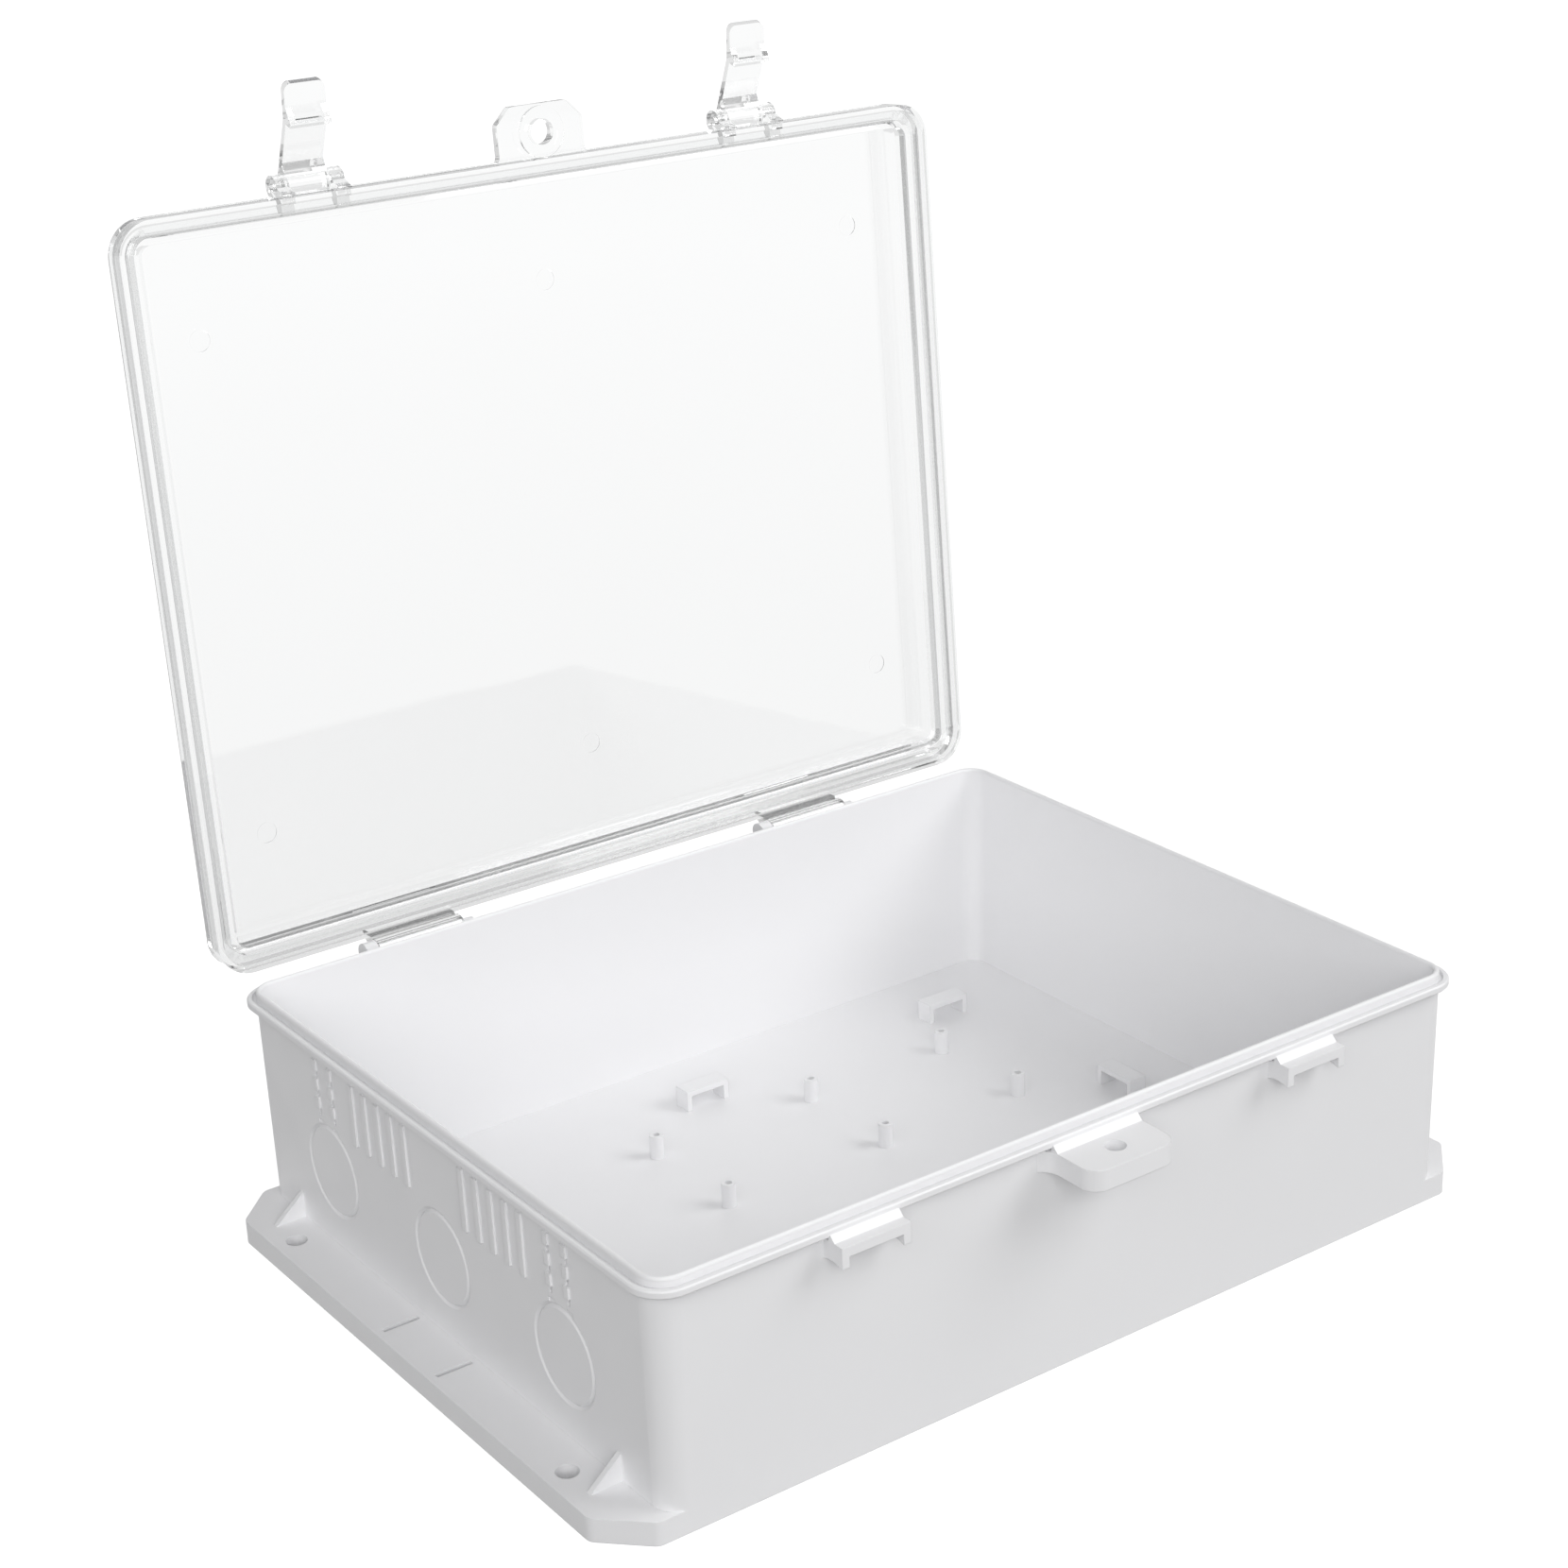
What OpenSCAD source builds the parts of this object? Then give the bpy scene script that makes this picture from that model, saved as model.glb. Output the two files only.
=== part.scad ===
// Hinged polycarbonate enclosure: grey base, clear lid on two snap hinges, lid seal and two snap latches.
// The origin is the centre of the base's bottom face, X runs along the hinge, +Y is the hinge side, +Z is up.
// "Out" means outwards from the clear opening of the base, the one outline that rim, seal and lid all follow.

/* [Base shell] */
// Clear length of the opening
inner_len = 300; // [260:1:380]
// Clear width of the opening
inner_wid = 236; // [200:1:300]
// Height of the base with its sealing ridge
base_h = 82; // [78:1:120]
// Thickness of the side walls
wall = 2; // [2:0.1:2.6]
// Thickness of the floor
floor_t = 3.2; // [2:0.1:5]
// Inside corner radius of the opening
corner_r = 6.5; // [6:0.5:12]
// Mould draft of the walls in degrees
draft = 0.7; // [0.3:0.1:1]

/* [Rim] */
// Width of the ridge's rounded tip
ridge_tip = 1.8; // [1.4:0.05:1.9]
// Height of the sealing ridge over the lip
ridge_h = 2.4; // [1.5:0.1:3.5]
// Width of the groove between ridge and lip
groove_w = 1.2; // [0.8:0.1:2]
// Depth of the groove below the lip
groove_d = 0.8; // [0.4:0.1:1.5]
// Thickness of the lip
lip_w = 1.8; // [1.2:0.1:3]
// Height of the lip
lip_h = 2.6; // [2:0.1:4]

/* [End flanges] */
// Reach of each flange beyond the opening
flange_out = 18.3; // [16:0.1:26]
// Height of the flanges
flange_h = 7.8; // [6:0.1:10]
// Thickness of the flange skin and its rims
flange_t = 2.5; // [2:0.1:3]
// Corner cut of the flanges
flange_cut = 14; // [10:0.5:16]
// Radius of the flange corners
flange_r = 4; // [2:0.5:6]
// Reach of the mounting holes beyond the opening
mount_out = 10.8; // [9.5:0.1:12]
// Distance of the mounting holes from the middle, across the width
mount_y = 82.6; // [60:0.1:90]
// Diameter of the mounting holes
mount_d = 7; // [4:0.1:8]
// Wall of the boss under each mounting hole
mount_wall = 2.4; // [1.5:0.1:3]
// Distance of the tie slots from the middle, across the width
slot_y = 16.2; // [10:0.1:30]
// Start of the tie slots beyond the opening
slot_out = 3.2; // [2.5:0.1:4]
// Length of the tie slots
slot_len = 12.2; // [6:0.1:12.5]
// Width of the tie slots
slot_w = 1.8; // [1:0.1:4]
// Distance of the gussets from the middle, across the width
gusset_y = 95.5; // [92:0.1:100]
// Reach of the gussets over the flange
gusset_out = 11; // [8:0.5:13]
// Height of the gussets above the flange
gusset_h = 9.2; // [5:0.1:20]
// Thickness of the gussets
gusset_t = 2; // [1.5:0.1:3]

/* [Knock-outs and vents] */
// Diameter of the knock-outs over their scored groove
knockout_d = 32.6; // [20:0.1:38]
// Distance between the knock-outs
knockout_pitch = 69.4; // [50:0.1:72]
// Height of the knock-out centres
knockout_z = 35.3; // [30:0.1:36]
// Width of the V-shaped scored groove
score_w = 1.8; // [1:0.1:2.4]
// Depth of the scored groove and of the slits
score_d = 0.9; // [0.4:0.1:1.2]
// Half the gap between the two tear lines of an outer knock-out
tear_half = 4.8; // [3:0.1:8]
// Length of one rib of a tear line
tear_len = 4; // [2:0.1:4.5]
// Distance from one rib of a tear line to the next
tear_pitch = 6.6; // [5.5:0.1:8]
// Width of the slit between those ribs
slit_w = 1.3; // [0.8:0.1:1.6]
// Height of the sloped notch where a tear line meets the knock-out
notch_h = 2.4; // [1.5:0.1:3]
// Width of that notch
notch_w = 3.4; // [2:0.1:4]
// Width of the vent and tear ribs
rib_w = 2.4; // [1:0.1:3]
// Height of the vent and tear ribs over the wall
rib_h = 0.8; // [0.3:0.1:1]
// Distance of the first vent rib from the middle
vent_first = 17.4; // [14:0.1:18]
// Distance from one vent rib to the next
vent_pitch = 8.2; // [4:0.1:9]
// Vent ribs on each side of the middle
vent_count = 5; // [1:1:5]
// Height of the lower end of the vent ribs
vent_z = 52.6; // [45:0.1:54]
// Length of the vent ribs
vent_len = 21; // [8:0.1:22]

/* [Floor fittings] */
// Screw boss rows along the length
boss_x = [-35, 30, 88.5]; // [-100:0.5:100]
// Screw boss rows across the width
boss_y = [19, 62]; // [10:0.5:70]
// Height of the screw bosses
boss_h = 8.6; // [4:0.1:14]
// Diameter of the screw bosses
boss_d = 5; // [4:0.1:8]
// Diameter of the pilot holes
pilot_d = 2.3; // [1.5:0.1:3]
// Depth of the pilot holes
pilot_depth = 7.5; // [3:0.1:8]
// Length of the cable-tie bridges
bridge_len = 17.5; // [12:0.5:24]
// Width of the cable-tie bridges
bridge_w = 7; // [4:0.5:10]
// Height of the cable-tie bridges
bridge_h = 7.5; // [5:0.1:12]
// Thickness of the cable-tie bridges
bridge_t = 2; // [1.5:0.1:2.5]
// Cable-tie bridges along the hinge side
rear_bridge_x = [0, 108]; // [-130:0.5:130]
// Distance of those bridges from the middle, across the width
rear_bridge_y = 85.8; // [72:0.1:108]
// Distance of the turned bridge from the middle, along the length
side_bridge_x = 119; // [96:0.5:140]
// Place of the turned bridge across the width
side_bridge_y = -1; // [-100:0.5:55]

/* [Front catches and hasp] */
// Distance of the latches from the middle
latch_x = 84.3; // [60:0.1:110]
// Width of the catches
catch_w = 24; // [22:0.1:30]
// Reach of the catches and of their leading edge beyond the opening
catch_out = 10.4; // [9.8:0.1:11]
// Thickness of the catch plate
catch_t = 3.3; // [2.5:0.1:3.8]
// Thickness of the catch's side webs
catch_web = 2.6; // [2:0.1:3.5]
// Depth of the side webs below the catch plate
catch_drop = 3.4; // [2:0.1:6]
// Gap from the rim lip down to the catches and the hasp
front_drop = 1; // [0.5:0.1:1.5]
// Size of the sloped fillet between the rim lip and the catches and hasp
root_fillet = 2; // [1:0.1:2.4]
// Reach of the base hasp beyond the opening
hasp_out = 22.8; // [21:0.1:26]
// Reach of the padlock hole beyond the opening
padlock_out = 13.4; // [12.5:0.1:14]
// Width of the base hasp
hasp_w = 32.6; // [24:0.1:40]
// Thickness of the base hasp
hasp_t = 6.8; // [4:0.1:8]
// Concave flare at the root of the base hasp
hasp_flare = 7; // [3:0.1:8]
// Corner radius of the base hasp
hasp_r = 5.7; // [3:0.1:8]
// Diameter of the base's padlock hole
base_padlock_d = 6.6; // [5:0.1:9]

/* [Lid] */
// Gap between the closed lid and the lip
lid_gap = 0.3; // [0.3:0.05:0.5]
// Amount that the lid stands proud of the lip all round
lid_over = 0.2; // [0:0.05:0.3]
// Thickness of the lid's skirt
skirt_t = 2; // [1.6:0.1:2.2]
// Thickness of the lid's flange and panel
lid_t = 2.4; // [2:0.1:3]
// Height of the lid's flange above its skirt edge
flange_up = 9.5; // [9:0.1:12]
// Height of the panel above the flange
panel_up = 6; // [4:0.1:8]
// Clearance between the lid's inner rib and the ridge
rib_play = 0.4; // [0.3:0.05:0.6]
// Thickness of the lid's inner rib and panel wall
rib_t = 2.4; // [1.8:0.1:2.6]
// Taper of the panel wall over its height
panel_taper = 0.6; // [0.2:0.1:0.8]
// Rounding of the lid's outer edges
lid_edge = 0.8; // [0.4:0.1:1]
// Width of the lid hasp
lid_hasp_w = 33; // [30:0.1:44]
// Reach of the lid hasp beyond the opening
lid_hasp_out = 22.5; // [21:0.1:26]
// Thickness of the lid hasp
lid_hasp_t = 3; // [2.4:0.1:4]
// Concave flare at the root of the lid hasp
lid_hasp_flare = 3; // [2:0.1:6]
// Corner cut of the lid hasp
lid_hasp_cut = 5.5; // [3:0.1:7]
// Rounding of the lid hasp's cut corners
lid_hasp_round = 1.8; // [1:0.1:2]
// Diameter of the lid's padlock hole
lid_padlock_d = 8.5; // [7:0.1:9]
// Diameter of the collar round the lid's padlock hole
collar_d = 17; // [12:0.1:18]
// Height of that collar
collar_h = 1; // [0.4:0.1:2]
// Diameter of the ejector marks inside the lid
ejector_d = 7; // [4:0.5:10]
// Depth of the ejector marks
ejector_depth = 0.25; // [0.1:0.05:0.4]
// Distance of the outer ejector marks from the middle
ejector_x = 127; // [60:1:135]
// Distance of the ejector marks from the middle, across the width
ejector_y = 82; // [40:1:90]

/* [Seal] */
// Side clearance of the seal in its channel
seal_play = 0.1; // [0.05:0.05:0.2]
// Gap between the relaxed seal and the ridge of the base
seal_gap = 0.3; // [0.3:0.05:0.5]

/* [Hinges] */
// Angle at which the lid stands, measured from closed
open_angle = 93.7; // [0:0.1:100]
// Distance of the hinge axis behind the lip
hinge_out = 4.3; // [4.3:0.1:5]
// Distance of the hinge axis below the lip
hinge_drop = 2.6; // [2.4:0.1:3]
// Half the distance between the two hinges
hinge_x = 81.2; // [50:0.1:110]
// Shift of both hinges along the length, as they aren't mirrored
hinge_shift = -3.2; // [-6:0.1:6]
// Width of the lid's knuckles
knuckle_w = 32.5; // [20:0.1:40]
// Diameter of the knuckles
knuckle_d = 8; // [7:0.1:8]
// Diameter of the hinge pins
pin_d = 3.6; // [3:0.1:4]
// Running clearance round pins and stubs
pin_play = 0.08; // [0.05:0.01:0.1]
// Opening of the snap knuckles in degrees
snap_angle = 80; // [60:5:100]
// Thickness of the base's hinge ears and brackets
ear_t = 4.5; // [3:0.1:7]
// Diameter of the ears at the hinge pin
ear_d = 7.4; // [5.6:0.1:7.6]
// Depth of the ears down the wall
ear_drop = 12; // [8:0.5:20]
// Side gap between parts that turn against each other
side_gap = 0.3; // [0.3:0.05:0.5]

/* [Latches] */
// Reach of the latch axis beyond the lid's front face
latch_out = 2.4; // [2.2:0.1:3]
// Height of the latch axis above the lid's flange
latch_up = 3; // [2.8:0.1:3.6]
// Width of the latch levers
lever_w = 14.5; // [12:0.1:16]
// Length of the levers from their axis
lever_len = 31.8; // [28:0.1:36]
// Thickness of the levers
lever_t = 2; // [1.6:0.1:2.4]
// Corner radius of the levers' thumb tab
tab_r = 2.6; // [1:0.1:5]
// Angle at which the thumb tab flares outwards
tab_flare = 20; // [5:1:30]
// Angle from closed at which the latches stand open
latch_angle = 64; // [0:1:90]
// Diameter of the lever's barrel
barrel_d = 6.4; // [5.6:0.1:6.8]
// Diameter of the pivot stubs
stub_d = 3; // [2.4:0.1:3.4]
// Thickness of the lid's latch ears
latch_ear_t = 4.5; // [3:0.1:5]
// Diameter of the latch ears
latch_ear_d = 7.6; // [7:0.1:8]
// Depth of the hook on the lever
hook_depth = 3; // [2:0.1:3.4]
// Length of the hook's slanted lead-in
hook_lead = 4.6; // [2:0.1:5]
// Thickness of the webs at the hook's sides
hook_web = 2.2; // [1.5:0.1:4]
// Length of the hook's flat tip
hook_tip = 1.4; // [1:0.1:1.8]
// Clearance between lever and catch
hook_play = 0.3; // [0.3:0.05:0.5]

/* [Hidden] */
$fn = 48;
EPS = 0.01;
OVERCUT = 1;
BASE_GREY = [0.87, 0.87, 0.88];
CLEAR = [0.93, 0.95, 0.96, 0.35];
SEAL_CLEAR = [0.85, 0.87, 0.88, 0.6];

lip_z = base_h - ridge_h;
lip_out = wall + groove_w + lip_w;
shell_top = base_h - ridge_tip / 2;
draft_run = tan(draft);
foot_x = inner_len / 2 + wall - shell_top * draft_run;
foot_y = inner_wid / 2 + wall - shell_top * draft_run;
flange_x = inner_len / 2 + flange_out;
mount_x = inner_len / 2 + mount_out;
root_sink = wall / 2;
front_top = lip_z - lip_h - front_drop;
tear_top = vent_z + vent_len;
tear_bottom = knockout_z + knockout_d / 2 + notch_h / 2;
padlock_y = inner_wid / 2 + padlock_out;

lid_out = lip_out + lid_over;
skirt_z = lip_z + lid_gap;
flange_z = skirt_z + flange_up;
panel_z = flange_z + panel_up;
channel_top = flange_z - lid_t;
channel_out = lid_out - skirt_t;
rib_out = -rib_play;
rib_in = rib_out - rib_t;

hinge_y = inner_wid / 2 + lip_out + hinge_out;
hinge_z = lip_z - hinge_drop;
lid_face = inner_wid / 2 + lid_out;
latch_y = -(lid_face + latch_out);
latch_z = flange_z + latch_up;
catch_face = inner_wid / 2 + catch_out;
catch_z = front_top - catch_t;

// The lever's inner face passes in front of the catch, and its hook passes below the catch plate.
lever_in = catch_face + hook_play + latch_y;
hook_in = lever_in - hook_depth;
hook_at = norm([latch_z - catch_z, hook_in]) + hook_play;
bend = hook_at + hook_tip;

// ---------- shared shapes ----------

function unit(v) = v / norm(v);
function corner_at(c, i) = [c[i % len(c)][0], c[i % len(c)][1]];
function to_next(c, i) = unit(corner_at(c, i + 1) - corner_at(c, i));
function to_last(c, i) = unit(corner_at(c, i + len(c) - 1) - corner_at(c, i));
function half_angle(c, i) = acos(to_next(c, i) * to_last(c, i)) / 2;
function tangent_len(c, i) = c[i][2] / tan(half_angle(c, i));

// A convex outline whose corners are [x, y, radius]
module rounded_outline(corners) {
    last = len(corners) - 1;
    polygon([for (i = [0:last]) each corners[i][2] == 0
        ? [corner_at(corners, i)]
        : [corner_at(corners, i) + tangent_len(corners, i) * to_last(corners, i),
           corner_at(corners, i) + tangent_len(corners, i) * to_next(corners, i)]]);
    for (i = [0:last])
        if (corners[i][2] > 0)
            translate(corner_at(corners, i) + corners[i][2] / sin(half_angle(corners, i))
                * unit(to_next(corners, i) + to_last(corners, i)))
                circle(r = corners[i][2]);
}

module both_ends() {
    children();
    mirror([1, 0, 0]) children();
}

module both_sides() {
    children();
    mirror([0, 1, 0]) children();
}

// Extrudes a profile drawn in (y, z) along X, from x0 to x1
module along_x(x0, x1) {
    translate([x0, 0, 0]) rotate([90, 0, 90]) linear_extrude(x1 - x0) children();
}

// Sweeps a profile drawn in (out, z) round the clear opening
module round_opening() {
    run_x = inner_len / 2 - corner_r;
    run_y = inner_wid / 2 - corner_r;
    both_ends()
        translate([inner_len / 2, 0, 0]) rotate([90, 0, 0])
            linear_extrude(2 * run_y, center = true) children();
    both_sides()
        translate([0, inner_wid / 2, 0]) rotate([90, 0, 90])
            linear_extrude(2 * run_x, center = true) children();
    both_ends() both_sides()
        translate([run_x, run_y, 0]) rotate_extrude(angle = 90) translate([corner_r, 0]) children();
}

// A plate that follows the clear opening, "out" beyond it
module opening_plate(out, z, thickness) {
    half_x = inner_len / 2 + out;
    half_y = inner_wid / 2 + out;
    r = corner_r + out;
    translate([0, 0, z]) linear_extrude(thickness)
        rounded_outline([[-half_x, -half_y, r], [half_x, -half_y, r], [half_x, half_y, r], [-half_x, half_y, r]]);
}

// The point where the line from "from" touches the circle round "centre" on its right
function tangent_point(from, centre, r) =
    let(gap = centre - from, turn = atan2(gap[1], gap[0]) - asin(r / norm(gap)))
    from + sqrt(gap * gap - r * r) * [cos(turn), sin(turn)];

// A hasp outline, drawn towards -Y: a tongue with rounded or cut corners and a concave flare at its root
module hasp_outline(root, tip, width, cut, radius, flare) {
    rounded_outline([
        [-width / 2, -root, 0], [-width / 2, cut - tip, radius], [cut - width / 2, -tip, radius],
        [width / 2 - cut, -tip, radius], [width / 2, cut - tip, radius], [width / 2, -root, 0]]);
    both_ends() difference() {
        translate([width / 2 - EPS, -root - flare]) square([flare + EPS, flare]);
        translate([width / 2 + flare, -root - flare]) circle(r = flare);
    }
}

// ---------- base ----------

// Section of the drafted wall with its ridge, groove and lip
module wall_profile() {
    under_lip = lip_z - lip_h;
    bevel = lip_w / 4;
    translate([wall / 2, shell_top]) circle(d = ridge_tip);
    polygon([
        [-shell_top * draft_run, 0], [wall - shell_top * draft_run, 0],
        [wall - (shell_top - under_lip) * draft_run, under_lip],
        [lip_out - bevel, under_lip], [lip_out, under_lip + bevel],
        [lip_out, lip_z - bevel], [lip_out - bevel, lip_z], [wall + groove_w, lip_z],
        [wall + groove_w, lip_z - groove_d], [wall, lip_z - groove_d], [wall, shell_top], [0, shell_top]]);
}

module shell() {
    round_opening() wall_profile();
    opening_plate(wall / 2 - shell_top * draft_run, 0, floor_t);
}

module flange_outline(x0, x1, half_y, cut, radius) {
    rounded_outline([
        [x0, -half_y, 0], [x1 - cut, -half_y, radius], [x1, cut - half_y, radius],
        [x1, half_y - cut, radius], [x1 - cut, half_y, radius], [x0, half_y, 0]]);
}

// Carries the flange under the rounded corners of the shell, flush with the front and back walls
module corner_spandrels() {
    r = corner_r + wall - shell_top * draft_run;
    both_sides() translate([foot_x - r, foot_y - r, 0]) linear_extrude(flange_h) difference() {
        square(r);
        circle(r = r - root_sink);
    }
}

module end_flange() {
    inner_cut = flange_cut - flange_t * (2 - sqrt(2));
    difference() {
        union() {
            difference() {
                linear_extrude(flange_h)
                    flange_outline(foot_x - root_sink, flange_x, foot_y, flange_cut, flange_r);
                translate([0, 0, -EPS]) linear_extrude(flange_h - flange_t + EPS)
                    flange_outline(foot_x + EPS, flange_x - flange_t, foot_y - flange_t, inner_cut, flange_r / 2);
            }
            both_sides() translate([mount_x, mount_y, 0])
                cylinder(h = flange_h - EPS, d = mount_d + 2 * mount_wall);
        }
        both_sides() translate([mount_x, mount_y, -EPS]) cylinder(h = flange_h + 2 * EPS, d = mount_d);
        both_sides() translate([inner_len / 2 + slot_out, slot_y - slot_w / 2, -EPS])
            cube([slot_len, slot_w, flange_h + 2 * EPS]);
    }
    corner_spandrels();
    both_sides() translate([0, gusset_y + gusset_t / 2, 0]) rotate([90, 0, 0]) linear_extrude(gusset_t)
        polygon([
            [foot_x - root_sink / 2, flange_h - flange_t / 2], [foot_x + gusset_out, flange_h - flange_t / 2],
            [foot_x + gusset_out, flange_h], [foot_x + flange_h * draft_run, flange_h + gusset_h],
            [foot_x - root_sink / 2, flange_h + gusset_h]]);
}

// Puts a shape on the outer face of the end wall at -X: X = 0 is the face, +X goes into the wall
module on_left_wall() {
    translate([-foot_x, 0, 0]) rotate([0, -draft, 0]) children();
}

// A V-shaped groove round the knock-out
module knockout_score() {
    outer = knockout_d / 2;
    middle = outer - score_w / 2;
    overcut = OVERCUT * score_w / 2 / score_d;
    rotate([0, 90, 0]) rotate_extrude()
        polygon([
            [middle, score_d], [middle + score_w / 2 + overcut, -OVERCUT],
            [middle - score_w / 2 - overcut, -OVERCUT]]);
}

// The middles of the four tear lines
module at_tear_lines() {
    for (y = [-knockout_pitch, knockout_pitch], side = [-tear_half, tear_half])
        translate([0, y + side, 0]) children();
}

// A notch whose floor slopes outwards, so that the knock-out's edge can be gripped there
module grip_notch() {
    circle_z = knockout_z + sqrt(pow(knockout_d / 2, 2) - tear_half * tear_half);
    translate([0, notch_w / 2, circle_z - notch_h / 2]) rotate([90, 0, 0]) linear_extrude(notch_w)
        polygon([[-OVERCUT, -OVERCUT * notch_h / score_d], [score_d, notch_h], [-OVERCUT, notch_h]]);
}

module end_wall_scores() {
    for (i = [-1, 0, 1])
        translate([0, i * knockout_pitch, knockout_z]) knockout_score();
    at_tear_lines() {
        for (z = [tear_top - tear_pitch:-tear_pitch:tear_bottom])
            translate([-OVERCUT, -slit_w / 2, z]) cube([score_d + OVERCUT, slit_w, tear_pitch - tear_len]);
        grip_notch();
    }
}

module wall_rib(z, length) {
    translate([-rib_h, -rib_w / 2, z]) cube([rib_h + wall / 2, rib_w, length]);
}

module end_wall_ribs() {
    at_tear_lines()
        for (z = [tear_top - tear_len:-tear_pitch:tear_bottom]) wall_rib(z, tear_len);
    for (i = [0:vent_count - 1], side = [-1, 1])
        translate([0, side * (vent_first + i * vent_pitch), 0]) wall_rib(vent_z, vent_len);
}

// Slopes from the face of the lip down to the top of a catch or hasp that is "width" wide
module lip_fillet(width) {
    lip_face = inner_wid / 2 + lip_out;
    along_x(-width / 2, width / 2)
        polygon([
            [-lip_face - root_fillet, front_top - EPS], [-lip_face + EPS, front_top + root_fillet],
            [-lip_face + lip_w / 2, front_top + root_fillet], [-lip_face + lip_w / 2, front_top - EPS]]);
}

module catch() {
    root = inner_wid / 2 + root_sink;
    lip_fillet(catch_w);
    difference() {
        along_x(-catch_w / 2, catch_w / 2)
            polygon([
                [-root, catch_z - catch_drop], [-root, front_top], [-catch_face, front_top],
                [-catch_face, catch_z - catch_drop]]);
        along_x(-catch_w / 2 + catch_web, catch_w / 2 - catch_web)
            translate([-catch_face - EPS, catch_z - catch_drop - EPS])
                square([catch_face - root + root_sink, catch_drop + EPS]);
        along_x(-catch_w / 2 - EPS, catch_w / 2 + EPS)
            translate([-(catch_face + root) / 2, catch_z - catch_drop - catch_out + catch_drop / 4])
                circle(r = catch_out);
    }
}

module base_hasp() {
    root = inner_wid / 2 + root_sink;
    lip_fillet(hasp_w);
    translate([0, 0, front_top - hasp_t]) difference() {
        linear_extrude(hasp_t)
            hasp_outline(root, inner_wid / 2 + hasp_out, hasp_w, hasp_r * (2 - sqrt(2)), hasp_r - EPS, hasp_flare);
        translate([0, -padlock_y, -EPS]) cylinder(h = hasp_t + 2 * EPS, d = base_padlock_d);
    }
}

// The ear that stands up beside the knuckle, with the root of the hinge pin
module hinge_ear(x) {
    root = inner_wid / 2 + root_sink;
    foot = [root, hinge_z - ear_drop];
    axis = [hinge_y, hinge_z];
    along_x(x, x + ear_t) {
        translate(axis) circle(d = ear_d);
        polygon([
            foot, tangent_point(foot, axis, ear_d / 2), axis + [0, ear_d / 2],
            [hinge_y - hinge_out, lip_z - lip_w / 4],
            [hinge_y - hinge_out - lip_w / 2, lip_z - groove_d], [root, lip_z - groove_d - lip_w / 4]]);
    }
}

// The low bracket under the other end of the pin, which stays below the rim
module hinge_bracket(x) {
    root = inner_wid / 2 + root_sink;
    foot = [root, hinge_z - ear_drop];
    axis = [hinge_y, hinge_z];
    along_x(x, x + ear_t) {
        translate(axis) circle(d = pin_d);
        polygon([foot, tangent_point(foot, axis, pin_d / 2), axis, [root, hinge_z]]);
    }
}

module hinge_mount() {
    inner_ear = -knuckle_w / 2 - side_gap - ear_t;
    bracket = knuckle_w / 2 + side_gap;
    hinge_ear(inner_ear);
    hinge_bracket(bracket);
    translate([inner_ear + EPS, hinge_y, hinge_z]) rotate([0, 90, 0])
        cylinder(h = bracket + ear_t - inner_ear - 2 * EPS, d = pin_d);
}

module at_hinges() {
    for (side = [-1, 1]) translate([side * hinge_x + hinge_shift, 0, 0]) children();
}

module screw_boss() {
    difference() {
        translate([0, 0, floor_t - EPS]) cylinder(h = boss_h + EPS, d = boss_d);
        translate([0, 0, floor_t + boss_h - pilot_depth]) cylinder(h = pilot_depth + EPS, d = pilot_d);
    }
}

// A flat arch that a cable tie passes under, standing on the floor
module tie_bridge() {
    translate([0, 0, floor_t]) difference() {
        translate([-bridge_len / 2, -bridge_w / 2, 0]) cube([bridge_len, bridge_w, bridge_h]);
        translate([bridge_t - bridge_len / 2, -bridge_w / 2 - OVERCUT, -OVERCUT])
            cube([bridge_len - 2 * bridge_t, bridge_w + 2 * OVERCUT, bridge_h - bridge_t + OVERCUT]);
    }
}

module base() {
    color(BASE_GREY) {
        difference() {
            union() {
                shell();
                both_ends() end_flange();
            }
            on_left_wall() end_wall_scores();
        }
        on_left_wall() end_wall_ribs();
        both_ends() translate([latch_x, 0, 0]) catch();
        at_hinges() hinge_mount();
        base_hasp();
        for (x = boss_x, y = boss_y) translate([x, y, 0]) screw_boss();
    }
}

module tie_bridges() {
    color(BASE_GREY) {
        for (x = rear_bridge_x) translate([x, rear_bridge_y, 0]) tie_bridge();
        translate([side_bridge_x, side_bridge_y, 0]) rotate([0, 0, 90]) tie_bridge();
    }
}

// ---------- lid, drawn closed and then swung open ----------

module opened() {
    translate([0, hinge_y, hinge_z]) rotate([-open_angle, 0, 0]) translate([0, -hinge_y, -hinge_z]) children();
}

module lid_profile() {
    polygon([
        [lid_out, skirt_z], [lid_out, flange_z - lid_edge], [lid_out - lid_edge, flange_z],
        [rib_out, flange_z], [rib_out - panel_taper, panel_z - lid_edge],
        [rib_out - panel_taper - lid_edge, panel_z], [rib_in - panel_taper - lid_edge, panel_z],
        [rib_in - panel_taper - lid_edge, panel_z - lid_t], [rib_in - panel_taper, panel_z - lid_t],
        [rib_in, base_h], [rib_out, base_h], [rib_out, channel_top], [channel_out, channel_top],
        [channel_out, skirt_z]]);
}

module lid_panel() {
    opening_plate(rib_in - panel_taper - lid_edge / 2, panel_z - lid_t, lid_t);
}

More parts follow.
